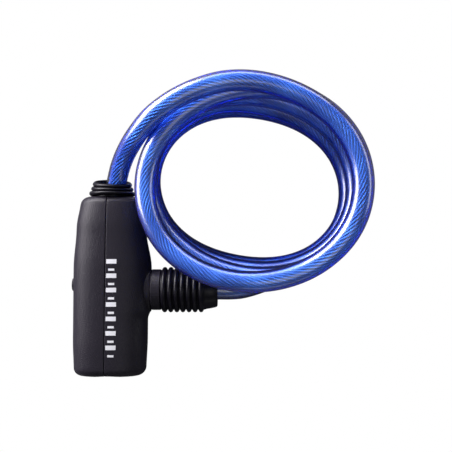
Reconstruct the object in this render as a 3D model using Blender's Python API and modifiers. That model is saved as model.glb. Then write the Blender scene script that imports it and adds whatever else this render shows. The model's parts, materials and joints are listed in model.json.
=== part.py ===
"""Keyed cable lock lying on a table: a two-shell lock head, a coil of coated steel cable and a pull-out plug.

Metres, +Z up, origin on the table under the middle of the lock head. The head's long axis runs along Y, with
the key end at -Y and the cable boot at +Y, and the plug leaves the head along +X. The helper functions take
millimetres in the head's own frame, whose origin is the middle of the key end.
"""

import math

import bmesh
import bpy
from mathutils import Matrix, Vector

MM = 0.001

# Lock head, measured from the key end along its axis
HEAD_LENGTH = 106.4 * MM
BACK_DEPTH = 16 * MM
KEY_END = Vector((0, -59.2, 16)) * MM
END_ROUND = 4.5 * MM
SEAM_X, SEAM_HALF_GAP = -1.3, 0.15
# Stations along the head: distance from the key end, half width, and height of the front above the axis.
HEAD_STATIONS = [
    (0, 21.3, 15.2),
    (22, 22.1, 16),
    (64, 22.3, 16),
    (87, 20.9, 14.9),
    (106.4, 18.3, 13),
]
# How the far end closes round the boot: distance back from the end, and the outline's inset there.
SHOULDER = [(4.5, 0), (3.1, 0.35), (1.9, 1.1), (0.9, 2.4), (0.3, 4.0), (0, 5.6)]
SECTION_POINTS = 44
SQUARENESS = 2.5
# The right flank swells towards the socket: distance from the key end, and how far it stands out there.
FLANK_SWELL = [(33, 0), (39.5, 1.8), (64, 1.8), (84, 0)]
SOCKET_FACE = 24.1
# The pad round the socket is squashed from front to back.
PAD_SQUASH = 0.76
SIDE_CAP_AT, SIDE_CAP_FACE = 53.5, 23.5

# Mechanism inside the head, in millimetres
PLUG_AT = 50.5
LATCH_PLATE_X = 8.0
CORE_RADIUS, HOUSING_RADIUS = 5.9, 9.0
WAFER_COUNT, FIRST_WAFER, WAFER_PITCH = 5, 7.0, 4.2
ECCENTRIC = 3.4
LATCH_TRAVEL = ECCENTRIC * math.sqrt(2)

# Plug, in millimetres out from the head's axis
PIN_RADIUS = 5.0
RIB_COUNT, RIB_PITCH, RIBS_START = 7, 3.65, 30.5
PLUG_END = 64.1

# Top boot
RING_RADII = (13.8, 12.7, 11.8)
RING_PITCH = 2.8
# The boot leans after the rising cable, mostly up and partly towards the coil.
BOOT_LEAN = math.radians(15)
LEAN_AXIS = Vector((0.98, 0, -0.18))

# Cable
CABLE_RADIUS = 6 * MM
TURN_RISE = 12.05 * MM
COIL_CENTRE = Vector((84.5, 55.0)) * MM
# Each turn of the coil is a slightly different oval. One row for the start of each turn, from the top down, in
# millimetres: mean radius, shift towards -X, shift towards +Y, ovalness along X, and slant of the oval.
TURN_SHAPES = [
    (58.0, 2.5, -3.0, 1.5, 2.5),
    (59.0, -1.0, -3.0, 3.5, -1.5),
    (58.0, -1.0, -2.0, 4.5, 2.0),
    (55.0, 1.5, -1.5, 4.5, 2.5),
    (55.0, 1.0, -0.5, 6.0, 2.5),
    (57.0, -0.5, -0.5, 3.5, 2.0),
]
# The cable climbs from each turn to the next over this part of the turn, in degrees.
CLIMB_FROM, CLIMB_TO = 255, 360
LEAD_ROUTE = [
    (0, 37.0, 16.0),
    (0.5, 43.2, 16.2),
    (1.8, 50.0, 17.4),
    (3.6, 57.5, 20.4),
    (6.4, 65.0, 25.7),
    (10.8, 72.2, 33.0),
    (17.4, 80.0, 41.6),
    (25.9, 88.3, 48.9),
    (35.8, 95.3, 52.9),
    (45.7, 100.8, 54.2),
]
TAIL_ROUTE = [
    (86.5, -6.2, 10.9),
    (78.5, -8.2, 13.7),
    (72.0, -8.7, 15.4),
    (66.0, -8.7, 16.0),
]
LEAD_FIRST_ANGLE = 60
LEAD_LAST_ANGLE = 540


def clear_scene():
    for old in list(bpy.data.objects):
        bpy.data.objects.remove(old, do_unlink=True)


def new_collection(name):
    collection = bpy.data.collections.new(name)
    bpy.context.scene.collection.children.link(collection)
    return collection


def new_material(name, colour, roughness, metallic=0.0):
    material = bpy.data.materials.new(name)
    material.use_nodes = True
    shader = material.node_tree.nodes["Principled BSDF"]
    shader.inputs["Base Color"].default_value = (*colour, 1)
    shader.inputs["Roughness"].default_value = roughness
    shader.inputs["Metallic"].default_value = metallic
    return material


clear_scene()
PARTS = new_collection("cable_lock")
CUTTERS = new_collection("cutters")
SHELL_PLASTIC = new_material("shell_plastic", (0.022, 0.021, 0.026), 0.48)
RUBBER = new_material("rubber", (0.014, 0.014, 0.016), 0.42)
ZINC = new_material("die_cast_zinc", (0.42, 0.42, 0.43), 0.42, 1.0)
STEEL = new_material("steel", (0.56, 0.56, 0.58), 0.25, 1.0)
BRASS = new_material("brass", (0.62, 0.45, 0.18), 0.3, 1.0)
JACKET = new_material("blue_jacket", (0.03, 0.09, 0.5), 0.12)


def empty(name, location):
    holder = bpy.data.objects.new(name, None)
    PARTS.objects.link(holder)
    holder.location = location
    return holder


HEAD = empty("lock_head", KEY_END)


def add(name, mesh, material=None, parent=None, location=(0, 0, 0), rotation=(0, 0, 0)):
    """A sub-part from its mesh, or a hidden cutter where it has no material."""
    piece = bpy.data.objects.new(name, mesh)
    (PARTS if material else CUTTERS).objects.link(piece)
    piece.parent = parent
    piece.location = location
    piece.rotation_euler = rotation
    if material:
        mesh.materials.append(material)
    else:
        piece.hide_render = True
        piece.display_type = "WIRE"
    return piece


def mesh_from(name, geometry):
    mesh = bpy.data.meshes.new(name)
    bmesh.ops.recalc_face_normals(geometry, faces=geometry.faces)
    geometry.to_mesh(mesh)
    geometry.free()
    return mesh


def smooth(piece, degrees=35):
    piece.data.shade_smooth()
    piece.data.set_sharp_from_angle(angle=math.radians(degrees))
    return piece


def block(name, low, high, material=None, parent=HEAD, bevel=0.0):
    """A box between two corners, in millimetres in its parent's frame."""
    low, high = Vector(low) * MM, Vector(high) * MM
    geometry = bmesh.new()
    bmesh.ops.create_cube(geometry, size=1, matrix=Matrix.Diagonal((*(high - low), 1)))
    piece = add(name, mesh_from(name, geometry), material, parent, (low + high) / 2)
    if bevel:
        edge = piece.modifiers.new("rounding", "BEVEL")
        edge.width = bevel * MM
        edge.segments = 2
    return piece


def turned(name, profile, axis, at, material=None, parent=HEAD, steps=40):
    """A profile of (radius, distance along the axis) in millimetres, turned about X, Y or Z through a point."""
    geometry = bmesh.new()
    closed = profile[0][0] > 0 or profile[-1][0] > 0
    corners = [geometry.verts.new((radius * MM, 0, along * MM)) for radius, along in profile]
    for first, second in zip(corners, corners[1:] + corners[:1] * closed):
        geometry.edges.new((first, second))
    mesh = bpy.data.meshes.new(name)
    geometry.to_mesh(mesh)
    geometry.free()
    turn = {"X": (0, math.pi / 2, 0), "Y": (-math.pi / 2, 0, 0), "Z": (0, 0, 0)}[axis]
    piece = add(name, mesh, material, parent, Vector(at) * MM, turn)
    screw = piece.modifiers.new("turn", "SCREW")
    screw.steps = screw.render_steps = steps
    screw.use_merge_vertices = True
    screw.merge_threshold = 0.00001
    return piece


def rod(name, radius, start, end, axis, at, material=None, parent=HEAD, steps=32, chamfer=0.0):
    """A round bar from start to end along its axis, with chamfered ends."""
    profile = [
        (0, end),
        (radius - chamfer, end),
        (radius, end - chamfer),
        (radius, start + chamfer),
        (radius - chamfer, start),
        (0, start),
    ]
    if not chamfer:
        profile = [(0, end), (radius, end), (radius, start), (0, start)]
    return turned(name, profile, axis, at, material, parent, steps)


def tube(name, outer, inner, start, end, axis, at, material=None, parent=HEAD, steps=40):
    profile = [(outer, end), (outer, start), (inner, start), (inner, end)]
    return turned(name, profile, axis, at, material, parent, steps)


def cut(piece, *tools, operation="DIFFERENCE"):
    for tool in tools:
        boolean = piece.modifiers.new(tool.name, "BOOLEAN")
        boolean.operation = operation
        boolean.object = tool
    return piece


def eased_between(stops, along):
    """The values at a distance along a list of stops, eased in and out between them."""
    if along <= stops[0][0]:
        return stops[0][1:]
    for (start, *low), (end, *high) in zip(stops, stops[1:]):
        if along <= end:
            share = (along - start) / (end - start)
            share = share * share * (3 - 2 * share)
            return [a + (b - a) * share for a, b in zip(low, high)]
    return stops[-1][1:]


def head_section(along, inset):
    """One closed outline round the head: a crowned front, full sides and a flat back."""
    half_width, half_height = eased_between(HEAD_STATIONS, along / MM)
    swell = eased_between(FLANK_SWELL, along / MM)[0]
    points = []
    for index in range(SECTION_POINTS):
        angle = 2 * math.pi * (index + 0.5) / SECTION_POINTS
        across, up = math.cos(angle), math.sin(angle)
        reach = half_width + (swell if across > 0 else 0)
        x = math.copysign(abs(across) ** (2 / SQUARENESS), across) * (reach * MM - inset)
        if up > 0:
            z = up ** (2 / SQUARENESS) * (half_height * MM - inset)
        else:
            full = -(abs(up) ** (2 / SQUARENESS)) * (BACK_DEPTH * 1.1 - inset)
            z = max(full, inset - BACK_DEPTH)
        points.append(Vector((x, along, z)))
    return points


def head_mesh():
    """The whole head as a loft of outlines, rounded over at the key end and closing in round the boot."""
    key_end = []
    for degrees in (0, 25, 50, 72):
        turn = math.radians(degrees)
        key_end.append((END_ROUND * (1 - math.cos(turn)), END_ROUND * (1 - math.sin(turn))))
    middle = [(along * MM, 0) for along in (10, 22, 33, 36, 39.5, 50, 64, 70, 76, 82, 90, 97)]
    shoulder = [(HEAD_LENGTH - back * MM, inset * MM) for back, inset in SHOULDER]
    geometry = bmesh.new()
    loops = []
    for along, inset in key_end + middle + shoulder:
        loops.append([geometry.verts.new(point) for point in head_section(along, inset)])
    for near, far in zip(loops, loops[1:]):
        for index in range(SECTION_POINTS):
            after = (index + 1) % SECTION_POINTS
            geometry.faces.new((near[index], near[after], far[after], far[index]))
    geometry.faces.new(loops[0])
    geometry.faces.new(loops[-1])
    return mesh_from("head", geometry)


def inner_cutters():
    """The hollows that both shells share."""
    end = HEAD_LENGTH / MM
    return [
        block("cut_frame_seat", (-14.3, 7.7, -11.9), (14.3, 65.8, 11.9)),
        rod("cut_key_opening", 9.4, -2, 9, "Y", (0, 0, 0)),
        rod("cut_bezel_seat", 12.6, -2, 3.3, "Y", (0, 0, 0), steps=48),
        rod("cut_ferrule_seat", 7.5, 65, end - 8.5, "Y", (0, 0, 0)),
        rod("cut_lead_way", 7.0, end - 9, end - 4, "Y", (0, 0, 0)),
        rod("cut_boot_flange", 11.3, end - 5.4, end - 2, "Y", (0, 0, 0), steps=48),
        rod("cut_boot_neck", 9.9, end - 3, end + 6, "Y", (0, 0, 0), steps=48),
        rod("cut_anchor_pin", 2.3, -11.4, 11.4, "X", (0, 80, 0)),
        rod("cut_socket", 7.3, 13, 30, "X", (0, PLUG_AT, 0)),
    ]


def make_shells():
    whole = head_mesh()
    shared = inner_cutters()
    drum = [(0, SOCKET_FACE), (12.9, SOCKET_FACE), (13.4, SOCKET_FACE - 0.5), (13.4, 16), (0, 16)]
    pad = turned("socket_pad", drum, "X", (0, PLUG_AT, 0), steps=48)
    pad.scale.x = PAD_SQUASH
    for name, side in (("left_shell", -1), ("right_shell", 1)):
        shell = smooth(add(name, whole.copy(), SHELL_PLASTIC, HEAD), 40)
        if side > 0:
            cut(shell, pad, operation="UNION")
            other_half = ((-30, -10, -30), (SEAM_X + SEAM_HALF_GAP, 120, 30))
        else:
            other_half = ((SEAM_X - SEAM_HALF_GAP, -10, -30), (30, 120, 30))
        cut(shell, block(f"cut_{name}_half", *other_half), *shared)
        if side < 0:
            cut(shell, rod("cut_side_cap_head", 4.5, -30, -21, "X", (0, SIDE_CAP_AT, 0)))
            cut(shell, rod("cut_side_cap_stem", 3.3, -22, -17, "X", (0, SIDE_CAP_AT, 0)))


def make_frame():
    frame = block("lock_frame", (-14, 8, -11.6), (14, 65.5, 11.6), ZINC, bevel=1.2)
    cut(
        frame,
        rod("cut_housing_bore", 9.3, 4, 38.2, "Y", (0, 0, 0)),
        block("cut_latch_chamber", (-3.2, 38, -10.5), (9.5, 59.2, 10.5)),
        rod("cut_sleeve_bore", 7.3, 9, 20, "X", (0, PLUG_AT, 0)),
        rod("cut_housing_pin_bore", 1.5, -20, -8, "X", (0, 28, 0)),
    )


def lean_over(mesh, start, length):
    """Curves a mesh that lies along Y towards the rising cable, growing over a length past the start."""
    pivot = Vector((0, start, 0))
    for vertex in mesh.vertices:
        share = min(max((vertex.co.y - start) / length, 0), 1)
        vertex.co = pivot + Matrix.Rotation(BOOT_LEAN * share, 4, LEAN_AXIS) @ (vertex.co - pivot)


def as_mesh_object(piece):
    """Replaces a piece by its evaluated mesh, so that its vertices can be edited."""
    bpy.context.view_layer.update()
    graph = bpy.context.evaluated_depsgraph_get()
    mesh = bpy.data.meshes.new_from_object(piece.evaluated_get(graph))
    geometry = bmesh.new()
    geometry.from_mesh(mesh)
    bmesh.ops.remove_doubles(geometry, verts=geometry.verts, dist=0.000005)
    geometry.transform(piece.matrix_local)
    geometry.to_mesh(mesh)
    geometry.free()
    name, parent = piece.name, piece.parent
    material = piece.data.materials[0] if piece.data.materials else None
    bpy.data.objects.remove(piece, do_unlink=True)
    mesh.materials.clear()
    return add(name, mesh, material, parent)


def make_top_boot():
    """A ringed rubber boot: a flange held by the shells, a neck, and three rings round a flared opening."""
    end = HEAD_LENGTH / MM
    profile = [(7.6, end - 5.1), (11.0, end - 5.1), (11.0, end - 2.3), (9.6, end - 2.3), (9.6, end + 0.3)]
    profile.append((12.6, end + 0.35))
    for index, radius in enumerate(RING_RADII):
        middle = end + 2.0 + RING_PITCH * index
        for angle in (-60, -20, 20, 60):
            bulge, along = math.cos(math.radians(angle)), math.sin(math.radians(angle))
            profile.append((radius - 1.7 * (1 - bulge), middle + 1.55 * along))
    profile += [(10.6, end + 9.25), (9.9, end + 8.9), (9.8, end + 6.5)]
    profile += [(9.4, end + 3.0), (8.4, end), (7.8, end - 2.5)]
    boot = turned("top_boot", profile[::-1], "Y", (0, 0, 0), RUBBER, steps=36)
    boot = as_mesh_object(boot)
    lean_over(boot.data, HEAD_LENGTH + 0.5 * MM, 9 * MM)
    smooth(boot, 60)


def make_fixed_details():
    bezel = [(12.3, 3.0), (12.3, 0.9), (11.9, 0.5), (9.8, 0.5), (9.3, 1.0), (9.3, 3.0)]
    smooth(turned("end_bezel", bezel, "Y", (0, 0, 0), SHELL_PLASTIC, steps=48))
    inner = CORE_RADIUS + 0.3
    housing = smooth(tube("cylinder_housing", HOUSING_RADIUS, inner, 1.6, 31, "Y", (0, 0, 0), ZINC))
    cut(
        housing,
        block("cut_channels_upright", (-2.8, 5, -7.4), (2.8, 25.6, 7.4)),
        block("cut_channels_level", (-7.4, 5, -2.8), (7.4, 25.6, 2.8)),
        rod("cut_housing_pin_hole", 1.5, -12, -7, "X", (0, 28, 0)),
    )
    smooth(rod("housing_pin", 1.2, -13.6, -7.4, "X", (0, 28, 0), STEEL, chamfer=0.2, steps=20))
    smooth(tube("socket_sleeve", 7, PIN_RADIUS + 0.3, 9.9, 23.8, "X", (0, PLUG_AT, 0), STEEL))
    face = -SIDE_CAP_FACE
    cap = [(0, -17.4), (3.0, -17.4), (3.0, -21.3), (4.2, -21.3), (4.2, face + 1.0)]
    cap += [(3.6, face + 0.4), (2.2, face + 0.1), (0, face)]
    smooth(turned("side_cap", cap, "X", (0, SIDE_CAP_AT, 0), SHELL_PLASTIC, steps=32))
    ferrule = smooth(rod("lead_ferrule", 7.2, 68, 94.7, "Y", (0, 0, 0), STEEL, chamfer=0.8))
    cut(ferrule, rod("cut_ferrule_pin", 2.3, -12, 12, "X", (0, 80, 0)))
    smooth(rod("anchor_pin", 2, -11.1, 11.1, "X", (0, 80, 0), STEEL, chamfer=0.3, steps=24))


def make_core():
    """The turning core: keyway, five wafer slots with side pockets for the springs, and a boss for the cam."""
    radius = CORE_RADIUS
    profile = [(0, 34.3), (3.6, 34.3), (3.6, 31.8), (radius, 31.8)]
    profile += [(radius, 1.5), (radius - 0.3, 1.2), (0, 1.2)]
    core = smooth(turned("cylinder_core", profile, "Y", (0, 0, 0), BRASS, steps=40))
    cut(core, block("cut_keyway", (-1.1, 0, -3.4), (1.1, 27, 4.4)))
    cut(core, rod("cut_cam_screw", 1.6, 28, 36, "Y", (0, 0, 0), steps=20))
    for index in range(WAFER_COUNT):
        at = FIRST_WAFER + WAFER_PITCH * index
        cut(core, block(f"cut_wafer_slot_{index + 1}", (-2.7, at - 0.75, -7), (2.7, at + 0.75, 7)))
        cut(core, block(f"cut_spring_pocket_{index + 1}", (2, at - 1.0, -4.5), (4.75, at + 1.0, 1.5)))


def spring(name, coil_radius, wire_radius, start, end, turns, at, points_a_turn=8):
    """A compression spring along Z, as a curve with filled caps."""
    count = round(turns * points_a_turn)
    curve = bpy.data.curves.new(name, "CURVE")
    curve.dimensions = "3D"
    curve.bevel_depth = wire_radius * MM
    curve.bevel_resolution = 1
    curve.use_fill_caps = True
    line = curve.splines.new("POLY")
    line.points.add(count)
    for index in range(count + 1):
        angle = 2 * math.pi * index / points_a_turn
        height = start + (end - start) * index / count
        place = Vector((coil_radius * math.cos(angle), coil_radius * math.sin(angle), height)) * MM
        line.points[index].co = (*place, 1)
    return add(name, curve, STEEL, HEAD, Vector(at) * MM)


def make_wafers():
    for index in range(WAFER_COUNT):
        at = FIRST_WAFER + WAFER_PITCH * index
        wafer = block(f"wafer_{index + 1}", (-2.4, at - 0.45, -5.0), (2.4, at + 0.45, 5.0), BRASS)
        arm = block(f"wafer_{index + 1}_arm", (2.0, at - 0.45, -0.9), (4.45, at + 0.45, 0.3))
        low = -3.3 + 0.25 * index
        window = block(f"cut_wafer_{index + 1}_window", (-1.5, at - 2, low), (1.5, at + 2, low + 5.9))
        cut(wafer, arm, operation="UNION")
        cut(wafer, window)
        spring(f"wafer_spring_{index + 1}", 0.5, 0.16, -4.0, -1.4, 3.3, (3.6, at, 0))


def make_cam_and_latch():
    """The cam's eccentric stud runs in the latch's cross slot, so a quarter turn lifts the latch."""
    offset = ECCENTRIC / math.sqrt(2)
    cam = smooth(tube("cam", 8, 1.6, 34.6, 37.6, "Y", (0, 0, 0), ZINC))
    cut(cam, rod("cam_stud", 1, 36, 42, "Y", (offset, 0, -offset), steps=20), operation="UNION")
    screw = [(0, 38.9), (1.6, 38.9), (1.9, 38.6), (1.9, 37.9), (1.3, 37.9), (1.3, 29), (0, 29)]
    smooth(turned("cam_screw", screw, "Y", (0, 0, 0), STEEL, steps=20))
    clip = smooth(tube("core_clip", 7.4, 3.9, 32.1, 33.2, "Y", (0, 0, 0), STEEL, steps=32))
    cut(clip, block("cut_clip_mouth", (-2.4, 30, 0), (2.4, 35, 9)))

    plate, at = LATCH_PLATE_X, PLUG_AT
    latch = block("latch", (plate - 1, 39.4, -10.2), (plate + 1, at + 8.1, 3.0), STEEL)
    cut(latch, block("latch_yoke", (-1.6, 39.4, -5.9), (plate, 41.8, 1.2)), operation="UNION")
    cut(
        latch,
        rod("cut_latch_hole", PIN_RADIUS + 0.5, 5, 11, "X", (0, at, 0)),
        block("cut_latch_slot", (5, at - 3.7, -LATCH_TRAVEL - 0.2), (11, at + 3.7, 0)),
        rod("cut_latch_slot_end", 3.7, 5, 11, "X", (0, at, -LATCH_TRAVEL), steps=24),
        block("cut_yoke_slot", (0.6, 38, -offset - 1.35), (5.0, 44, -offset + 1.35)),
    )
    spring("latch_spring", 1.5, 0.3, -9.9, -6.5, 3, (4.6, 40.6, 0))


def make_plug():
    """The pull-out plug: latch pin, crimp, smooth collar and ribbed boot, all turned about the plug's axis."""
    at, groove, radius = (0, PLUG_AT, 0), LATCH_PLATE_X, PIN_RADIUS
    pin = [(0, 40.6), (radius, 40.6), (radius, groove + 1.6), (3.4, groove + 1.4), (3.4, groove - 1.4)]
    pin += [(radius, groove - 1.6), (radius, 3.6), (3.2, 2), (0, 2)]
    smooth(turned("lock_pin", pin, "X", at, STEEL, steps=36))
    bore = radius + 0.3
    cup = [(0, 54.6), (6.4, 54.6), (7, 54), (7, 30.8), (bore, 30.8), (bore, 41), (0, 41)]
    smooth(turned("plug_ferrule", cup, "X", at, STEEL, steps=32))
    collar = [(11.8, 30.2), (12.2, 29.8), (12.2, 24.9), (11.7, 24.4), (bore, 24.4), (bore, 30.2)]
    smooth(turned("plug_collar", collar, "X", at, SHELL_PLASTIC, steps=44))
    boot = [(7.3, RIBS_START), (12.1, RIBS_START)]
    for index in range(RIB_COUNT):
        middle = RIBS_START + RIB_PITCH * (index + 0.5)
        boot.append((12.0, middle - 1.7))
        for degrees in (-62, 0, 62):
            turn = math.radians(degrees)
            boot.append((12.1 + 1.5 * math.cos(turn), middle + 1.4 * math.sin(turn)))
    taper = PLUG_END - 8
    boot += [(11.9, taper + 0.1), (11.5, taper + 1.4), (10.5, PLUG_END - 0.9), (9.7, PLUG_END)]
    boot += [(7.4, PLUG_END), (6.9, 58), (6.7, 55.2), (7.3, 54.9)]
    smooth(turned("plug_boot", boot[::-1], "X", at, RUBBER, steps=28), 50)


def spline(before, start, end, after, t):
    """Catmull-Rom between start and end."""
    bend = 2 * before - 5 * start + 4 * end - after
    twist = 3 * start - before - 3 * end + after
    return 0.5 * (2 * start + (end - before) * t + bend * t**2 + twist * t**3)


def coil_point(angle):
    """A point on the coil's centre line; the angle is 0 at -X and grows through +Y, +X and -Y, going down."""
    turn, within = divmod(angle, 360)
    share = within / 360
    share = share * share * (3 - 2 * share)
    above, below = TURN_SHAPES[int(turn)], TURN_SHAPES[int(turn) + 1]
    mean, left, far, oval, slant = [a + (b - a) * share for a, b in zip(above, below)]
    bearing = math.radians(angle)
    reach = mean + left * math.cos(bearing) + far * math.sin(bearing)
    reach += oval * math.cos(2 * bearing) + slant * math.sin(2 * bearing)
    drop = max(within - CLIMB_FROM, 0) / (CLIMB_TO - CLIMB_FROM)
    drop = drop * drop * (3 - 2 * drop)
    x = COIL_CENTRE.x - reach * MM * math.cos(bearing)
    y = COIL_CENTRE.y + reach * MM * math.sin(bearing)
    return Vector((x, y, CABLE_RADIUS + 0.05 * MM + TURN_RISE * max(4 - turn - drop, 0)))


def smooth_path(points, samples):
    """A smooth curve through points, with a number of samples on each span."""
    padded = [2 * points[0] - points[1], *points, 2 * points[-1] - points[-2]]
    path = []
    for knots in zip(padded, padded[1:], padded[2:], padded[3:]):
        path += [spline(*knots, step / samples) for step in range(samples)]
    return path + [points[-1]]


def evenly(path, spacing):
    """Points at an even spacing along a path, its two ends included."""
    lengths = [0.0]
    for first, second in zip(path, path[1:]):
        lengths.append(lengths[-1] + (second - first).length)
    count = max(2, round(lengths[-1] / spacing))
    picked, index = [], 0
    for step in range(count + 1):
        target = lengths[-1] * step / count
        while index < len(path) - 2 and lengths[index + 1] < target:
            index += 1
        share = (target - lengths[index]) / (lengths[index + 1] - lengths[index])
        picked.append(path[index].lerp(path[index + 1], share))
    return picked


def cable_tube(name, path, spacing):
    curve = bpy.data.curves.new(name, "CURVE")
    curve.dimensions = "3D"
    curve.bevel_depth = CABLE_RADIUS
    curve.bevel_resolution = 3
    curve.use_fill_caps = True
    line = curve.splines.new("POLY")
    points = evenly(path, spacing)
    line.points.add(len(points) - 1)
    for point, place in zip(line.points, points):
        point.co = (*place, 1)
    return add(name, curve, JACKET)


def make_cable():
    """The lead with the coil's top as one tube, the turns below as one ring, and the tail as a short tube."""
    lead = [Vector(point) * MM for point in LEAD_ROUTE]
    tail = [Vector(point) * MM for point in TAIL_ROUTE]
    upper = [coil_point(angle) for angle in range(LEAD_FIRST_ANGLE, LEAD_LAST_ANGLE + 1, 15)]
    cable_tube("cable_lead", smooth_path(lead + upper, 6), 13 * MM)
    cable_tube("cable_tail", smooth_path(tail, 6), 10 * MM)

    outer, inner, round_off, top = 67.0, 56.2, 4.5, 35.9
    corners = [(outer - round_off, round_off, -90), (outer - round_off, top - round_off, 0)]
    corners += [(inner + round_off, top - round_off, 90), (inner + round_off, round_off, 180)]
    profile = []
    for radius, height, first in corners:
        for degrees in (first, first + 45, first + 90):
            turn = math.radians(degrees)
            profile.append((radius + round_off * math.cos(turn), height + round_off * math.sin(turn)))
    at = (COIL_CENTRE.x / MM, COIL_CENTRE.y / MM, 0)
    ring = turned("cable_coil", profile[::-1], "Z", at, JACKET, parent=None, steps=56)
    ring.scale = (1, 54.4 / outer, 1)
    smooth(ring, 50)


make_shells()
make_frame()
make_top_boot()
make_fixed_details()
make_core()
make_wafers()
make_cam_and_latch()
make_plug()
make_cable()
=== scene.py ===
"""Looks of the cable lock.

The script sets up the camera, light and floor, builds the visible cable, shells and boots round the CAD pieces, and
gives every piece its finish.
"""

import json
import math

import bmesh
import bpy
from mathutils import Matrix, Vector


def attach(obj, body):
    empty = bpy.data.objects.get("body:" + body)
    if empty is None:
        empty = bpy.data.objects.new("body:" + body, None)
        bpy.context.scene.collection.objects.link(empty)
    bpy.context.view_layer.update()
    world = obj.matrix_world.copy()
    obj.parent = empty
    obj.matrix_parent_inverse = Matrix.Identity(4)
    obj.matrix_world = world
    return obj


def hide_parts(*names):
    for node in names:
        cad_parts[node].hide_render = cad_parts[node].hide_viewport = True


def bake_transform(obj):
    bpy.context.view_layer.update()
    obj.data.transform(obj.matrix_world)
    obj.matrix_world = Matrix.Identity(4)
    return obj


MM = 0.001
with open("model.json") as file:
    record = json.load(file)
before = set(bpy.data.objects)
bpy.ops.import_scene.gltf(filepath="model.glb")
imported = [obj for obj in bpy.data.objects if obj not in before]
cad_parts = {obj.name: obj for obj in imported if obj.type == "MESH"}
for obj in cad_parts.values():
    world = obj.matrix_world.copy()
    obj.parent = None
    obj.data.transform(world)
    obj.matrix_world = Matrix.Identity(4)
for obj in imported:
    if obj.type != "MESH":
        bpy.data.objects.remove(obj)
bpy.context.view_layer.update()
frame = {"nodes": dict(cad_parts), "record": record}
nodes = frame["nodes"]

# --------------------------------------------------------------------------------------------- camera and light
scene = bpy.context.scene
scene.view_settings.view_transform = "Standard"
scene.view_settings.look = "None"

TARGET = Vector((69.1, 28.7, 30)) * MM
ELEVATION, DISTANCE = math.radians(86), 410.2 * MM
LENS_MM, SENSOR_MM = 55.75, 36

LIGHT_TARGET = (0.07, 0.03, 0.02)
# Low, wide panels all round give the cable its long bands of light: name, place, width, height, watts and colour.
SOFTBOXES = [
    ("left_softbox", (-0.72, 0.36, 0.28), 0.80, 0.50, 11.0, (1, 0.96, 1)),
    ("corner_softbox", (-0.48, 0.74, 0.30), 0.70, 0.50, 15.0, (1, 0.97, 1)),
    ("far_softbox", (0.25, 0.85, 0.26), 0.80, 0.26, 2.4, (1, 1, 1)),
    ("right_softbox", (0.90, 0.30, 0.28), 0.80, 0.26, 1.8, (1, 1, 1)),
    ("near_softbox", (0.25, -0.85, 0.26), 0.70, 0.14, 0.25, (1, 1, 1)),
    ("top_softbox", (0.25, -0.20, 0.92), 0.50, 0.50, 0.9, (1, 1, 1)),
]
DIM_COLOUR, DIM_STRENGTH = (0.92, 0.95, 1, 1), 0.09
FLOOR_HALF_SIZE, FLOOR_DROP, FLOOR_LIT_COLOUR = 3, 0.0002, (0.16, 0.16, 0.18, 1)


def make_camera():
    data = bpy.data.cameras.new("camera")
    data.lens = LENS_MM
    data.sensor_width = SENSOR_MM
    data.clip_start = 0.02
    camera = bpy.data.objects.new("camera", data)
    scene.collection.objects.link(camera)
    camera.location = TARGET + DISTANCE * Vector((0, -math.cos(ELEVATION), math.sin(ELEVATION)))
    camera.rotation_euler = (TARGET - camera.location).to_track_quat("-Z", "Y").to_euler()
    scene.camera = camera


def area_light(name, place, width, height, power, colour):
    data = bpy.data.lights.new(name, "AREA")
    data.shape = "RECTANGLE"
    data.size, data.size_y = width, height
    data.energy = power
    data.color = colour
    lamp = bpy.data.objects.new(name, data)
    scene.collection.objects.link(lamp)
    lamp.location = place
    lamp.rotation_euler = (Vector(LIGHT_TARGET) - Vector(place)).to_track_quat("-Z", "Y").to_euler()


def seen_or_lit(tree, seen, lit):
    """What a shader gives straight to the camera, and what it gives to every other ray."""
    path = tree.nodes.new("ShaderNodeLightPath")
    mix = tree.nodes.new("ShaderNodeMixShader")
    tree.links.new(path.outputs["Is Camera Ray"], mix.inputs["Fac"])
    tree.links.new(lit.outputs[0], mix.inputs[1])
    tree.links.new(seen.outputs[0], mix.inputs[2])
    return mix.outputs[0]


def make_studio():
    world = bpy.data.worlds.new("studio")
    scene.world = world
    world.use_nodes = True
    tree = world.node_tree
    dim = tree.nodes["Background"]
    dim.inputs["Color"].default_value = DIM_COLOUR
    dim.inputs["Strength"].default_value = DIM_STRENGTH
    painted_highlight_tone = tree.nodes.new("ShaderNodeBackground")
    painted_highlight_tone.inputs["Color"].default_value = (1, 1, 1, 1)
    tree.links.new(seen_or_lit(tree, painted_highlight_tone, dim), tree.nodes["World Output"].inputs["Surface"])

    for softbox in SOFTBOXES:
        area_light(*softbox)


def make_floor():
    """Paper that is plain white to the camera and grey to every other ray, so it throws little light back."""
    geometry = bmesh.new()
    bmesh.ops.create_grid(geometry, x_segments=1, y_segments=1, size=FLOOR_HALF_SIZE)
    mesh = mesh_from("floor", geometry)
    floor = bpy.data.objects.new("floor", mesh)
    scene.collection.objects.link(floor)
    floor.location.z = -FLOOR_DROP
    paper = bpy.data.materials.new("floor_paper")
    paper.use_nodes = True
    tree = paper.node_tree
    lit = tree.nodes["Principled BSDF"]
    lit.inputs["Base Color"].default_value = FLOOR_LIT_COLOUR
    lit.inputs["Roughness"].default_value = 0.9
    seen = tree.nodes.new("ShaderNodeEmission")
    tree.links.new(seen_or_lit(tree, seen, lit), tree.nodes["Material Output"].inputs["Surface"])
    mesh.materials.append(paper)


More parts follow.
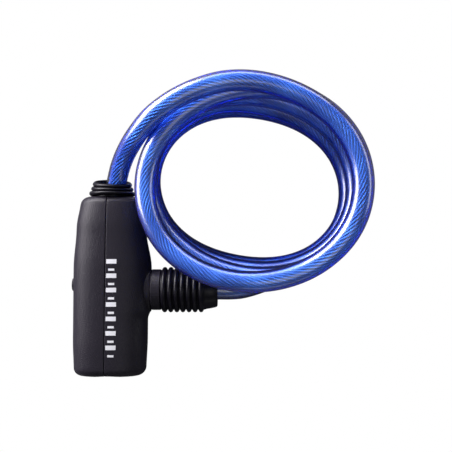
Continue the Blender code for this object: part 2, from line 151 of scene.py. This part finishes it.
# ----------------------------------------------------------------------------------------------- shared helpers
class Shader:
    """A node material, built up with short calls."""

    def __init__(self, name):
        self.material = bpy.data.materials.new(name)
        self.material.use_nodes = True
        self.tree = self.material.node_tree
        self.main = self.tree.nodes["Principled BSDF"]

    def node(self, kind, **values):
        node = self.tree.nodes.new(kind)
        for key, value in values.items():
            if hasattr(node, key):
                setattr(node, key, value)
            else:
                node.inputs[key.replace("_", " ")].default_value = value
        return node

    def link(self, source, target):
        self.tree.links.new(source, target)

    def set(self, **values):
        for key, value in values.items():
            self.main.inputs[key.replace("_", " ")].default_value = value

    def noise(self, scale, detail, vector=None):
        node = self.node("ShaderNodeTexNoise", Scale=scale, Detail=detail)
        if vector is None:
            vector = self.node("ShaderNodeTexCoord").outputs["Object"]
        self.link(vector, node.inputs["Vector"])
        return node

    def ramp(self, source, stops):
        node = self.node("ShaderNodeValToRGB")
        elements = node.color_ramp.elements
        while len(elements) < len(stops):
            elements.new(0.5)
        for element, (place, colour) in zip(elements, stops):
            element.position = place
            element.color = (*colour, 1)
        self.link(source, node.inputs["Fac"])
        return node.outputs["Color"]

    def spread(self, source, low, high):
        node = self.node("ShaderNodeMapRange")
        node.inputs["To Min"].default_value = low
        node.inputs["To Max"].default_value = high
        self.link(source, node.inputs["Value"])
        return node.outputs["Result"]

    def bump(self, height, strength, distance):
        node = self.node("ShaderNodeBump", Strength=strength, Distance=distance)
        self.link(height, node.inputs["Height"])
        return node.outputs["Normal"]


def eased(share):
    """A share from 0 to 1, eased in and out."""
    return share * share * (3 - 2 * share)


def mesh_from(name, geometry):
    mesh = bpy.data.meshes.new(name)
    geometry.to_mesh(mesh)
    geometry.free()
    return mesh


def finished_mesh(name, geometry):
    """A closed mesh of triangles that face out, as the Booleans want it."""
    bmesh.ops.triangulate(geometry, faces=geometry.faces)
    bmesh.ops.recalc_face_normals(geometry, faces=geometry.faces)
    return mesh_from(name, geometry)


def add_piece(name, mesh, material, body):
    """A visible piece."""
    piece = bpy.data.objects.new(name, mesh)
    scene.collection.objects.link(piece)
    mesh.materials.append(material)
    mesh.shade_smooth()
    if body:
        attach(piece, body)
    return piece


# -------------------------------------------------------------------------------------------------------- cable
CABLE_RADIUS = 6 * MM
CABLE_CLEARANCE = 0.05 * MM
TURN_RISE = 2 * CABLE_RADIUS + CABLE_CLEARANCE
COIL_CENTRE = Vector((84.5, 55.0)) * MM
# One row for the start of each turn, from the top down: mean radius, shift towards -X, shift towards +Y, ovalness
# along X, and slant of the oval.
TURN_SHAPES = [
    (58.0, 2.5, -3.0, 1.5, 2.5),
    (59.0, -1.0, -3.0, 3.5, -1.5),
    (58.0, -1.0, -2.0, 4.5, 2.0),
    (55.0, 1.5, -1.5, 4.5, 2.5),
    (55.0, 1.0, -0.5, 6.0, 2.5),
    (57.0, -0.5, -0.5, 3.5, 2.0),
]
FULL_DROPS = 4
# Each turn runs level up to the first angle, and drops to the next one's height by the second.
CLIMB_FROM, CLIMB_TO = 255, 360
# Centre-line points in millimetres, from the ferrule in the head up to the coil, and from the coil to the plug.
LEAD_ROUTE = [
    (0, 37.0, 16.0),
    (0.5, 43.2, 16.2),
    (1.8, 50.0, 17.4),
    (3.6, 57.5, 20.4),
    (6.4, 65.0, 25.7),
    (10.8, 72.2, 33.0),
    (17.4, 80.0, 41.6),
    (25.9, 88.3, 48.9),
    (35.8, 95.3, 52.9),
    (45.7, 100.8, 54.2),
]
TAIL_ROUTE = [
    (138.0, 26.0, 6.05),
    (129.5, 15.4, 6.05),
    (118.0, 7.0, 6.1),
    (106.0, 1.2, 6.5),
    (95.5, -3.0, 8.1),
    (86.5, -6.2, 10.9),
    (78.5, -8.2, 13.7),
    (72.0, -8.7, 15.4),
    (66.0, -8.7, 16.0),
    (60.5, -8.7, 16.0),
]
FIRST_ANGLE, JOIN_ANGLE, LAST_ANGLE, ANGLE_STEP = 60, 540, 1640, 10
KNOT_SAMPLES, CABLE_SPACING, JACKET_SIDES = 12, 1.5 * MM, 36
STRANDS, STRAND_RADIUS, STRAND_ORBIT, STRAND_SIDES = 12, 0.74 * MM, 2.65 * MM, 6
ROPE_LAY, ROPE_CORE_SIDES = 46 * MM, 12


def spline(before, start, end, after, t):
    """Catmull-Rom between start and end."""
    bend = 2 * before - 5 * start + 4 * end - after
    twist = 3 * start - before - 3 * end + after
    return 0.5 * (2 * start + (end - before) * t + bend * t**2 + twist * t**3)


def coil_point(angle):
    """A point on the coil's centre line; the angle is 0 at -X and grows through +Y, +X and -Y, going down."""
    turn, within = divmod(angle, 360)
    share = eased(within / 360)
    above, below = TURN_SHAPES[int(turn)], TURN_SHAPES[int(turn) + 1]
    mean, left, far, oval, slant = [a + (b - a) * share for a, b in zip(above, below)]
    bearing = math.radians(angle)
    reach = mean + left * math.cos(bearing) + far * math.sin(bearing)
    reach += oval * math.cos(2 * bearing) + slant * math.sin(2 * bearing)
    drop = eased(max(within - CLIMB_FROM, 0) / (CLIMB_TO - CLIMB_FROM))
    x = COIL_CENTRE.x - reach * MM * math.cos(bearing)
    y = COIL_CENTRE.y + reach * MM * math.sin(bearing)
    return Vector((x, y, CABLE_RADIUS + CABLE_CLEARANCE + TURN_RISE * max(FULL_DROPS - turn - drop, 0)))


def smooth_path(points, samples):
    """A spline through the points, with a number of samples to each gap."""
    padded = [2 * points[0] - points[1], *points, 2 * points[-1] - points[-2]]
    path = []
    for knots in zip(padded, padded[1:], padded[2:], padded[3:]):
        path += [spline(*knots, step / samples) for step in range(samples)]
    return path + [points[-1]]


def evenly(path, spacing):
    """The same path with its points evenly spaced."""
    lengths = [0.0]
    for first, second in zip(path, path[1:]):
        lengths.append(lengths[-1] + (second - first).length)
    count = max(2, round(lengths[-1] / spacing))
    picked, index = [], 0
    for step in range(count + 1):
        target = lengths[-1] * step / count
        while index < len(path) - 2 and lengths[index + 1] < target:
            index += 1
        share = (target - lengths[index]) / (lengths[index + 1] - lengths[index])
        picked.append(path[index].lerp(path[index + 1], share))
    return picked


def path_length(path):
    return sum((b - a).length for a, b in zip(path, path[1:]))


def frames_along(path, start_side=None):
    """Tangent, side and up at each point, carried along the path with no twist of their own."""
    tangents = []
    for index in range(len(path)):
        before, after = path[max(index - 1, 0)], path[min(index + 1, len(path) - 1)]
        tangents.append((after - before).normalized())
    side = start_side or tangents[0].cross(Vector((0, 0, 1))).normalized()
    frames = []
    for tangent in tangents:
        side = (side - tangent * side.dot(tangent)).normalized()
        frames.append((tangent, side, tangent.cross(side)))
    return frames


def sweep(geometry, centres, frames, radius, sides, start_v, v_step, turns=None, caps=(True, True)):
    """A tube round given centres. Its UV map holds the share of the way round, and the length along in metres."""
    uv = geometry.loops.layers.uv.verify()
    rings = []
    for index, (centre, (_, side, up)) in enumerate(zip(centres, frames)):
        shift = turns[index] if turns else 0.0
        ring = []
        for step in range(sides):
            angle = 2 * math.pi * step / sides + shift
            ring.append(geometry.verts.new(centre + radius * (math.cos(angle) * side + math.sin(angle) * up)))
        rings.append(ring)
    for index, (near, far) in enumerate(zip(rings, rings[1:])):
        for step in range(sides):
            after = (step + 1) % sides
            face = geometry.faces.new((near[step], near[after], far[after], far[step]))
            corners = ((step, index), (step + 1, index), (step + 1, index + 1), (step, index + 1))
            for loop, (u, v) in zip(face.loops, corners):
                loop[uv].uv = (u / sides, start_v + v * v_step)
    if caps[0]:
        geometry.faces.new(rings[0][::-1])
    if caps[1]:
        geometry.faces.new(rings[-1])


def cable_jacket_mesh(name, path, frames, start_v, caps):
    geometry = bmesh.new()
    step = path_length(path) / (len(path) - 1)
    sweep(geometry, path, frames, CABLE_RADIUS, JACKET_SIDES, start_v, step, caps=caps)
    return mesh_from(name, geometry)


def cable_rope_mesh(name, path, frames, start_v):
    """Strands laid in a helix round a core."""
    geometry = bmesh.new()
    step = path_length(path) / (len(path) - 1)
    sweep(geometry, path, frames, STRAND_ORBIT - STRAND_RADIUS / 2, ROPE_CORE_SIDES, start_v, step)
    for strand in range(STRANDS):
        centres, turns = [], []
        for index, (centre, (_, side, up)) in enumerate(zip(path, frames)):
            angle = 2 * math.pi * ((start_v + index * step) / ROPE_LAY + strand / STRANDS)
            centres.append(centre + STRAND_ORBIT * (math.cos(angle) * side + math.sin(angle) * up))
            turns.append(angle)
        sweep(geometry, centres, frames, STRAND_RADIUS, STRAND_SIDES, start_v, step, turns=turns)
    return mesh_from(name, geometry)


def jacket_material():
    """Clear blue vinyl, deeper where it is seen edge on. Lamps reach the rope through a tinted stand-in."""
    s = Shader("blue_vinyl")
    s.set(Roughness=0.07, IOR=1.36, Transmission_Weight=1.0)
    s.set(Coat_Weight=1.0, Coat_Roughness=0.27, Coat_IOR=2.1)
    facing = s.node("ShaderNodeLayerWeight", Blend=0.5)
    face_on, slanted = (0.10, 0.34, 0.92), (0.028, 0.12, 0.68)
    steep, edge_on = (0.005, 0.010, 0.32), (0.012, 0.005, 0.10)
    tint = s.ramp(facing.outputs["Facing"], [(0.0, face_on), (0.25, slanted), (0.55, steep), (0.9, edge_on)])
    s.link(tint, s.main.inputs["Base Color"])
    clear = s.node("ShaderNodeBsdfTransparent", Color=(0.12, 0.27, 0.74, 1))
    path = s.node("ShaderNodeLightPath")
    mix = s.node("ShaderNodeMixShader")
    s.link(path.outputs["Is Shadow Ray"], mix.inputs["Fac"])
    s.link(s.main.outputs[0], mix.inputs[1])
    s.link(clear.outputs[0], mix.inputs[2])
    s.link(mix.outputs[0], s.tree.nodes["Material Output"].inputs["Surface"])
    ripple = s.noise(70, 1)
    s.link(s.bump(ripple.outputs["Fac"], 0.15, 0.0004), s.main.inputs["Normal"])
    return s.material


def rope_material():
    """Galvanised strands with random streaks along their length, pale as painted highlight and dark blue as painted
    shade.
    """
    s = Shader("rope_wires")
    s.set(Metallic=0.35, Roughness=0.35)
    coordinates = s.node("ShaderNodeUVMap")
    stretch = s.node("ShaderNodeMapping")
    stretch.inputs["Scale"].default_value = (5, 50, 1)
    s.link(coordinates.outputs[0], stretch.inputs["Vector"])
    # Noise streaks run between a painted shade tone and a painted highlight tone, standing in for light and shade
    # along the wires.
    highlight_and_shade_streaks = s.noise(1.0, 3, vector=stretch.outputs[0])
    painted_shade_tone, painted_highlight_tone = (0.10, 0.17, 0.34), (0.90, 0.95, 1.0)
    colour = s.ramp(highlight_and_shade_streaks.outputs["Fac"], [(0.34, painted_shade_tone), (0.66, painted_highlight_tone)])
    s.link(colour, s.main.inputs["Base Color"])
    return s.material


def make_cable(plug_boot):
    """The cable in two stretches: the upper stays where it is, and the lower goes with the plug."""
    lead = [Vector(point) * MM for point in LEAD_ROUTE]
    tail = [Vector(point) * MM for point in TAIL_ROUTE]
    turns = [coil_point(angle) for angle in range(FIRST_ANGLE, LAST_ANGLE + 1, ANGLE_STEP)]
    join = (len(lead) + (JOIN_ANGLE - FIRST_ANGLE) // ANGLE_STEP) * KNOT_SAMPLES
    whole = smooth_path(lead + turns + tail, KNOT_SAMPLES)
    upper = evenly(whole[: join + 1], CABLE_SPACING)
    lower = evenly(whole[join:], CABLE_SPACING)
    upper_frames = frames_along(upper)
    lower_frames = frames_along(lower, upper_frames[-1][1])
    lower_frames[0] = upper_frames[-1]
    jacket, rope = finishes["blue_jacket"], rope_material()
    upper_length, lower_length = path_length(upper), path_length(lower)

    mesh = cable_jacket_mesh("cable_jacket_upper", upper, upper_frames, 0, (True, False))
    upper_jacket = add_piece("cable_jacket_upper", mesh, jacket, None)
    mesh = cable_rope_mesh("cable_rope_upper", upper, upper_frames, 0)
    upper_rope = add_piece("cable_rope_upper", mesh, rope, None)
    mesh = cable_jacket_mesh("cable_jacket_lower", lower, lower_frames, upper_length, (False, True))
    lower_jacket = add_piece("cable_jacket_lower", mesh, jacket, "plug")
    mesh = cable_rope_mesh("cable_rope_lower", lower, lower_frames, upper_length)
    lower_rope = add_piece("cable_rope_lower", mesh, rope, "plug")
    for piece in (upper_jacket, upper_rope):
        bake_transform(piece)
    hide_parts("cable_lead")
    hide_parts("cable_coil", "cable_tail")


# ---------------------------------------------------------------------------------------------------- lock head
# The head's own frame starts in the middle of its key end and points along it; lengths here are in millimetres.
HEAD_LENGTH, BACK_DEPTH, END_ROUND = 106.4, 16.0, 4.5
# Distance from the key end, half width, and height of the front over the axis.
HEAD_STATIONS = [
    (0, 21.3, 15.2),
    (22, 22.1, 16),
    (64, 22.3, 16),
    (87, 20.9, 14.9),
    (106.4, 18.3, 13),
]
SHOULDER_DEPTH, SHOULDER_INSET = 4.5, 5.6
# How far the right flank swells round the socket.
FLANK_SWELL = [(33, 0), (39.5, 1.8), (64, 1.8), (84, 0)]
SEAM_X, SEAM_HALF_GAP, SEAM_ROUND = -1.3, 0.15, 0.45
SQUARENESS, BACK_FULLNESS, CROWN_STEPS = 2.5, 1.1, 30
PLUG_AT, SOCKET_FACE, SIDE_CAP_AT, PAD_SQUASH = 50.5, 24.1, 53.5, 0.76
HEAD_FRAME = Matrix.Translation(Vector((0, -59.2, 16)) * MM)


def eased_between(stops, along):
    """The values at a distance along a list of stops, eased in and out between them."""
    if along <= stops[0][0]:
        return stops[0][1:]
    for (start, *low), (end, *high) in zip(stops, stops[1:]):
        if along <= end:
            share = eased((along - start) / (end - start))
            return [a + (b - a) * share for a, b in zip(low, high)]
    return stops[-1][1:]


def crown(x, reach, height):
    """Height of the crowned front at a distance from the axis."""
    return height * max(1 - (abs(x) / reach) ** SQUARENESS, 0) ** (1 / SQUARENESS)


def half_section(along, inset, side):
    """One closed outline of a half shell, slightly rounded over where it meets the seam."""
    half_width, half_height = eased_between(HEAD_STATIONS, along)
    swell = eased_between(FLANK_SWELL, along)[0] if side > 0 else 0
    reach, front, back = half_width + swell - inset, half_height - inset, BACK_DEPTH * BACK_FULLNESS - inset
    wall = SEAM_X * side + SEAM_HALF_GAP
    near_wall = [0, 0.03, 0.08, 0.15, 0.25, 0.35, SEAM_ROUND, 1.2]
    top = []
    for step in near_wall:
        d = min(step, SEAM_ROUND)
        fall = SEAM_ROUND - math.sqrt(SEAM_ROUND**2 - (SEAM_ROUND - d) ** 2)
        x = wall + step
        top.append((x, crown(x, reach, front) - fall, min(crown(x, reach, back), BACK_DEPTH - inset) - fall))
    first = math.acos(((wall + 2.4) / reach) ** (SQUARENESS / 2))
    for index in range(CROWN_STEPS):
        turn = first * (1 - index / CROWN_STEPS)
        x, up = reach * math.cos(turn) ** (2 / SQUARENESS), math.sin(turn) ** (2 / SQUARENESS)
        top.append((x, front * up, min(back * up, BACK_DEPTH - inset)))
    outline = [(x, z) for x, z, _ in top] + [(reach, 0)] + [(x, -z) for x, _, z in reversed(top)]
    return [Vector((x * side, along, z)) * MM for x, z in outline]


def half_shell_mesh(name, side):
    rows = []
    for degrees in (0, 10, 20, 30, 40, 50, 60, 70, 80, 90):
        turn = math.radians(degrees)
        rows.append((END_ROUND * (1 - math.cos(turn)), END_ROUND * (1 - math.sin(turn))))
    rows += [(along, 0) for along in (7, 10, 14, 18, 22, 28, 33, 34, 35, 36, 37, 38, 39.5, 45, 50, 58, 64)]
    rows += [(along, 0) for along in (67, 70, 73, 76, 79, 82, 84.5, 87, 90, 94, 98)]
    for degrees in (0, 12, 24, 36, 48, 60, 70, 80, 90):
        turn = math.radians(degrees)
        inset = SHOULDER_INSET * (1 - math.cos(turn))
        rows.append((HEAD_LENGTH - SHOULDER_DEPTH * (1 - math.sin(turn)), inset))
    geometry = bmesh.new()
    loops = [[geometry.verts.new(point) for point in half_section(*row, side)] for row in rows]
    count = len(loops[0])
    for near, far in zip(loops, loops[1:]):
        for index in range(count):
            after = (index + 1) % count
            geometry.faces.new((near[index], near[after], far[after], far[index]))
    geometry.faces.new(loops[0])
    geometry.faces.new(loops[-1])
    return finished_mesh(name, geometry)


def turned_mesh(name, profile, axis, at, steps=96):
    """A profile of (radius, distance along the axis) turned about X or Y through a point of the head's frame."""
    side = {"X": Vector((0, 1, 0)), "Y": Vector((0, 0, 1))}[axis]
    along = {"X": Vector((1, 0, 0)), "Y": Vector((0, 1, 0))}[axis]
    other = along.cross(side)
    closed = profile[0][0] > 0
    geometry = bmesh.new()
    rings = []
    for radius, distance in profile:
        centre = Vector(at) + along * distance
        if radius == 0:
            rings.append([geometry.verts.new(centre * MM)] * steps)
            continue
        ring = []
        for step in range(steps):
            turn = 2 * math.pi * step / steps
            spoke = math.cos(turn) * side + math.sin(turn) * other
            ring.append(geometry.verts.new((centre + radius * spoke) * MM))
        rings.append(ring)
    pairs = list(zip(rings, rings[1:])) + ([(rings[-1], rings[0])] if closed else [])
    for near, far in pairs:
        for step in range(steps):
            after = (step + 1) % steps
            corners = []
            for corner in (near[step], near[after], far[after], far[step]):
                if corner not in corners:
                    corners.append(corner)
            if len(corners) > 2:
                geometry.faces.new(corners)
    return finished_mesh(name, geometry)


def box_mesh(name, low, high):
    low, high = Vector(low) * MM, Vector(high) * MM
    geometry = bmesh.new()
    place = Matrix.Translation((low + high) / 2) @ Matrix.Diagonal((*(high - low), 1))
    bmesh.ops.create_cube(geometry, size=1, matrix=place)
    return finished_mesh(name, geometry)


def rod_mesh(name, radius, start, end, axis, at):
    return turned_mesh(name, [(0, start), (radius, start), (radius, end), (0, end)], axis, at)


def carve(mesh, steps):
    """The mesh after a list of (operation, tool mesh) Booleans."""
    work = bpy.data.objects.new("work", mesh)
    scene.collection.objects.link(work)
    tools = []
    for operation, tool_mesh in steps:
        tool = bpy.data.objects.new("tool", tool_mesh)
        scene.collection.objects.link(tool)
        boolean = work.modifiers.new("boolean", "BOOLEAN")
        boolean.operation, boolean.object, boolean.solver = operation, tool, "EXACT"
        tools.append(tool)
    bpy.context.view_layer.update()
    carved = bpy.data.meshes.new_from_object(work.evaluated_get(bpy.context.evaluated_depsgraph_get()))
    for made in [work, *tools]:
        bpy.data.objects.remove(made, do_unlink=True)
    return carved


def make_shells(finish):
    end, centre, plug, cap = HEAD_LENGTH, (0, 0, 0), (0, PLUG_AT, 0), (0, SIDE_CAP_AT, 0)
    for name, side in (("left_shell", -1), ("right_shell", 1)):
        mouth = [(0, -1), (13.2, -1), (13.2, 0.2), (12.6, 0.8), (12.6, 3.3), (9.4, 3.3), (9.4, 9), (0, 9)]
        neck = [(0, end - 9), (7.0, end - 9), (7.0, end - 5.4), (11.3, end - 5.4), (11.3, end - 2), (9.9, end - 2)]
        neck += [(9.9, end - 0.6), (10.5, end), (10.5, end + 2), (0, end + 2)]
        steps = []
        if side > 0:
            drum = [(0, 16), (13.4, 16), (13.4, SOCKET_FACE - 0.6), (13.2, SOCKET_FACE - 0.2)]
            drum += [(12.8, SOCKET_FACE), (0, SOCKET_FACE)]
            pad = turned_mesh("pad", drum, "X", plug)
            pad.transform(Matrix.Diagonal((1, 1, PAD_SQUASH, 1)))
            steps.append(("UNION", pad))
            steps.append(("DIFFERENCE", rod_mesh("socket", 7.3, 13, 30, "X", plug)))
        else:
            steps.append(("DIFFERENCE", rod_mesh("cap_head", 4.5, -30, -21, "X", cap)))
            steps.append(("DIFFERENCE", rod_mesh("cap_stem", 3.3, -22, -17, "X", cap)))
        steps += [
            ("DIFFERENCE", box_mesh("frame_seat", (-14.3, 7.7, -11.9), (14.3, 65.8, 11.9))),
            ("DIFFERENCE", turned_mesh("mouth", mouth, "Y", centre)),
            ("DIFFERENCE", rod_mesh("ferrule_seat", 7.5, 65, end - 8.5, "Y", centre)),
            ("DIFFERENCE", turned_mesh("neck", neck, "Y", centre)),
            ("DIFFERENCE", rod_mesh("anchor_pin", 2.3, -11.4, 11.4, "X", (0, 80, 0))),
        ]
        mesh = carve(half_shell_mesh(name, side), steps)
        mesh.transform(HEAD_FRAME)
        shell = add_piece(f"{name}_moulding", mesh, finish, "lock_head")
        mesh.set_sharp_from_angle(angle=math.radians(32))
        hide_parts(name)


TOP_RINGS, TOP_RING_PITCH = (13.8, 12.7, 11.8), 2.8
BOOT_LEAN, LEAN_AXIS, LEAN_LENGTH = math.radians(15), Vector((0.98, 0, -0.18)), 9 * MM
PLUG_RIBS, PLUG_RIB_PITCH, PLUG_BOOT_FROM, PLUG_BOOT_TO = 7, 3.65, 30.5, 64.1


def make_top_boot(finish):
    """The ringed boot at the head's far end, which leans with the rising cable."""
    end = HEAD_LENGTH
    profile = [(7.6, end - 5.1), (11.0, end - 5.1), (11.0, end - 2.3)]
    profile += [(9.6, end - 2.3), (9.6, end + 0.3), (11.6, end + 0.35)]
    for index, radius in enumerate(TOP_RINGS):
        middle = end + 2.0 + TOP_RING_PITCH * index
        for degrees in range(-70, 71, 14):
            turn = math.radians(degrees)
            profile.append((radius - 1.7 * (1 - math.cos(turn)), middle + 1.55 * math.sin(turn)))
    profile += [(10.9, end + 9.15), (10.5, end + 9.3), (10.1, end + 9.25), (9.9, end + 8.9), (9.8, end + 6.5)]
    profile += [(9.4, end + 3.0), (8.4, end), (7.8, end - 2.5)]
    mesh = turned_mesh("top_boot", profile, "Y", (0, 0, 0))
    pivot = Vector((0, end + 0.5, 0)) * MM
    for vertex in mesh.vertices:
        share = min(max((vertex.co.y - pivot.y) / LEAN_LENGTH, 0), 1)
        vertex.co = pivot + Matrix.Rotation(BOOT_LEAN * share, 4, LEAN_AXIS) @ (vertex.co - pivot)
    mesh.transform(HEAD_FRAME)
    boot = add_piece("ringed_top_boot", mesh, finish, "lock_head")
    mesh.set_sharp_from_angle(angle=math.radians(50))
    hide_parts("top_boot")


def make_plug_boot(finish):
    """The ribbed grip of the plug, with a smooth tip."""
    start, tip = PLUG_BOOT_FROM, PLUG_BOOT_TO
    profile = [(7.3, start), (12.0, start)]
    for index in range(PLUG_RIBS):
        middle = start + PLUG_RIB_PITCH * (index + 0.5)
        profile.append((12.0, middle - 1.75))
        for degrees in range(-80, 81, 16):
            turn = math.radians(degrees)
            profile.append((12.1 + 1.5 * math.cos(turn), middle + 1.42 * math.sin(turn)))
        profile.append((12.0, middle + 1.75))
    profile += [(11.9, tip - 7.4), (11.6, tip - 6.6), (11.2, tip - 4), (10.6, tip - 1.3), (10.3, tip - 0.6)]
    profile += [(9.9, tip - 0.15), (9.4, tip), (7.4, tip), (6.9, 58), (6.7, 55.2), (7.3, 54.9)]
    mesh = turned_mesh("plug_boot", profile, "X", (0, PLUG_AT, 0))
    mesh.transform(HEAD_FRAME)
    boot = add_piece("ribbed_plug_boot", mesh, finish, "plug")
    mesh.set_sharp_from_angle(angle=math.radians(50))
    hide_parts("plug_boot")
    return boot


BARS, BAR_PITCH, FIRST_BAR, BARS_LEFT = 14, 4.15, 11.9, -0.5
WIDE_BAR, NARROW_BAR = (5.9, 2.6), (3.6, 1.3)
INK_SINK, INK_LIFT = -0.05, 0.03


def make_print():
    """A plain row of printed bars beside the seam, as thin closed slabs that follow the crowned front."""
    s = Shader("white_ink")
    s.set(Base_Color=(0.80, 0.81, 0.84, 1), Roughness=0.5)
    geometry = bmesh.new()
    middle = BARS_LEFT + WIDE_BAR[0] / 2
    for bar in range(BARS):
        width, length = WIDE_BAR if bar % 2 else NARROW_BAR
        low = FIRST_BAR + BAR_PITCH * bar
        high = low + length
        columns = [middle - width / 2 + width * step / 6 for step in range(7)]
        sheets = []
        for lift in (INK_SINK, INK_LIFT):
            sheet = []
            for along in (low, high):
                half_width, half_height = eased_between(HEAD_STATIONS, along)
                reach = half_width + eased_between(FLANK_SWELL, along)[0]
                row = [Vector((x, along, crown(x, reach, half_height) + lift)) * MM for x in columns]
                sheet.append([geometry.verts.new(point) for point in row])
            sheets.append(sheet)
        (a, b), (c, d) = sheets
        for index in range(6):
            geometry.faces.new((a[index], b[index], b[index + 1], a[index + 1]))
            geometry.faces.new((c[index], c[index + 1], d[index + 1], d[index]))
            geometry.faces.new((a[index], a[index + 1], c[index + 1], c[index]))
            geometry.faces.new((b[index + 1], b[index], d[index], d[index + 1]))
        geometry.faces.new((a[0], c[0], d[0], b[0]))
        geometry.faces.new((a[6], b[6], d[6], c[6]))
    mesh = finished_mesh("printed_bars", geometry)
    mesh.transform(HEAD_FRAME)
    add_piece("printed_bars", mesh, s.material, "lock_head")
    mesh.set_sharp_from_angle(angle=math.radians(30))


# --------------------------------------------------------------------------------------------- plastics, metals
def shell_plastic():
    """Black plastic with a fine satin grain."""
    s = Shader("satin_plastic")
    s.set(Base_Color=(0.016, 0.014, 0.021, 1), Specular_IOR_Level=0.25)
    grain = s.noise(1700, 2)
    s.link(s.spread(grain.outputs["Fac"], 0.30, 0.46), s.main.inputs["Roughness"])
    s.link(s.bump(grain.outputs["Fac"], 1.0, 0.0002), s.main.inputs["Normal"])
    return s.material


def glossy_rubber():
    """Smooth black rubber."""
    s = Shader("black_rubber")
    s.set(Base_Color=(0.004, 0.0035, 0.007, 1), Specular_IOR_Level=0.28)
    cloud = s.noise(160, 3)
    s.link(s.spread(cloud.outputs["Fac"], 0.30, 0.42), s.main.inputs["Roughness"])
    fine = s.noise(1800, 2)
    s.link(s.bump(fine.outputs["Fac"], 0.2, 0.0001), s.main.inputs["Normal"])
    return s.material


def metal(name, colour, roughness, grain_scale):
    """A metal with slight changes of tone and polish."""
    s = Shader(name)
    s.set(Metallic=1.0)
    grain = s.noise(grain_scale, 3)
    low, high = [tuple(c * k for c in colour) for k in (0.82, 1.1)]
    s.link(s.ramp(grain.outputs["Fac"], [(0.3, low), (0.7, high)]), s.main.inputs["Base Color"])
    s.link(s.spread(grain.outputs["Fac"], roughness * 0.8, roughness * 1.3), s.main.inputs["Roughness"])
    return s.material


def finish_nodes():
    """The CAD nodes that stay visible take the finish of their slot."""
    slot_of = {part["node"]: part["material_slot"] for part in frame["record"]["subparts"]}
    for name, node in nodes.items():
        for index in range(len(node.material_slots)):
            node.material_slots[index].material = finishes[slot_of[name]]


make_camera()
make_studio()
make_floor()
finishes = {
    "shell_plastic": shell_plastic(),
    "rubber": glossy_rubber(),
    "die_cast_zinc": metal("cast_zinc", (0.42, 0.42, 0.43), 0.42, 900),
    "steel": metal("bright_steel", (0.60, 0.60, 0.62), 0.22, 400),
    "brass": metal("machined_brass", (0.66, 0.47, 0.19), 0.28, 500),
    "blue_jacket": jacket_material(),
}
make_top_boot(finishes["rubber"])
make_cable(make_plug_boot(finishes["rubber"]))
finish_nodes()
make_shells(finishes["shell_plastic"])
make_print()
